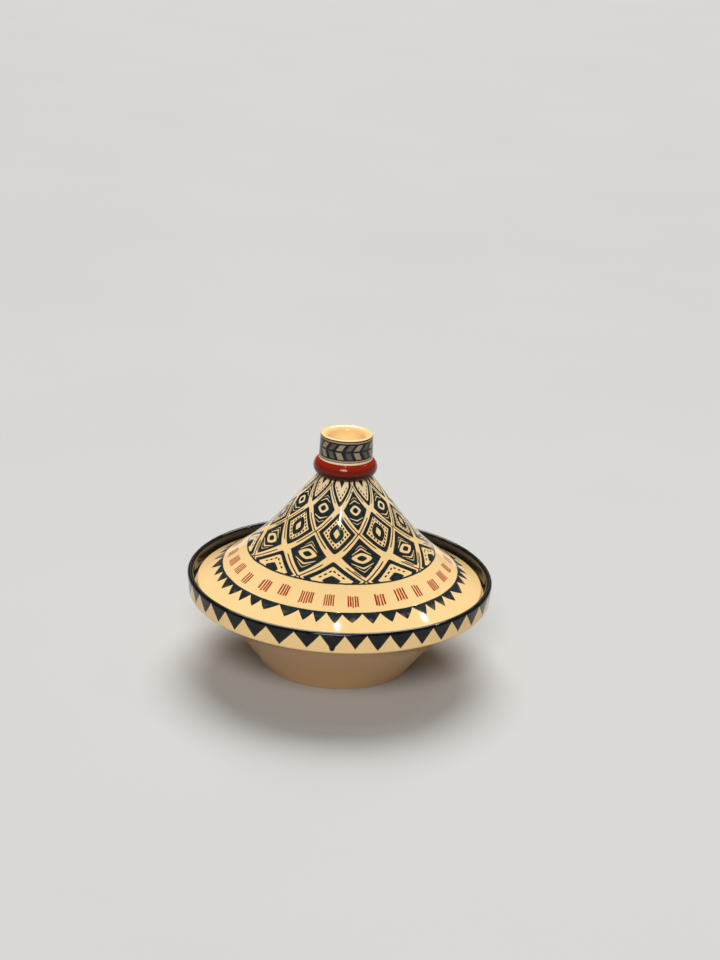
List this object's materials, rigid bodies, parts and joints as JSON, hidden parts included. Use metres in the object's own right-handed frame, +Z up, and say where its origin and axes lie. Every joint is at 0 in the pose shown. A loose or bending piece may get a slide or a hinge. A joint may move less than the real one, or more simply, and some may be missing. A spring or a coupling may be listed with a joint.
{
  "type": "tagine pot",
  "caption": "Glazed clay tagine: a footed dish with an upright rim and a flared conical lid that lifts off by a hollow knob.",
  "frame": {"origin": "centre of the dish's foot, on the table", "axes": "+Z up along the turning axis of dish and lid"},
  "size_m": [0.2996, 0.2996, 0.2355],
  "materials": {
    "painted_glaze": "gloss cream glaze over hand-painted blue-black and rust ornament",
    "red_glaze": "gloss deep red glaze"
  },
  "bodies": {
    "dish": {"dish": "painted_glaze"},
    "lid": {"lid_cone": "painted_glaze", "collar_bead": "red_glaze", "knob_cup": "painted_glaze"}
  },
  "joints": [
    {"name": "lid_lift", "type": "slide", "parent": "dish", "child": "lid", "axis": [0, 0, 1], "range_m": [0, 0.16]}
  ]
}
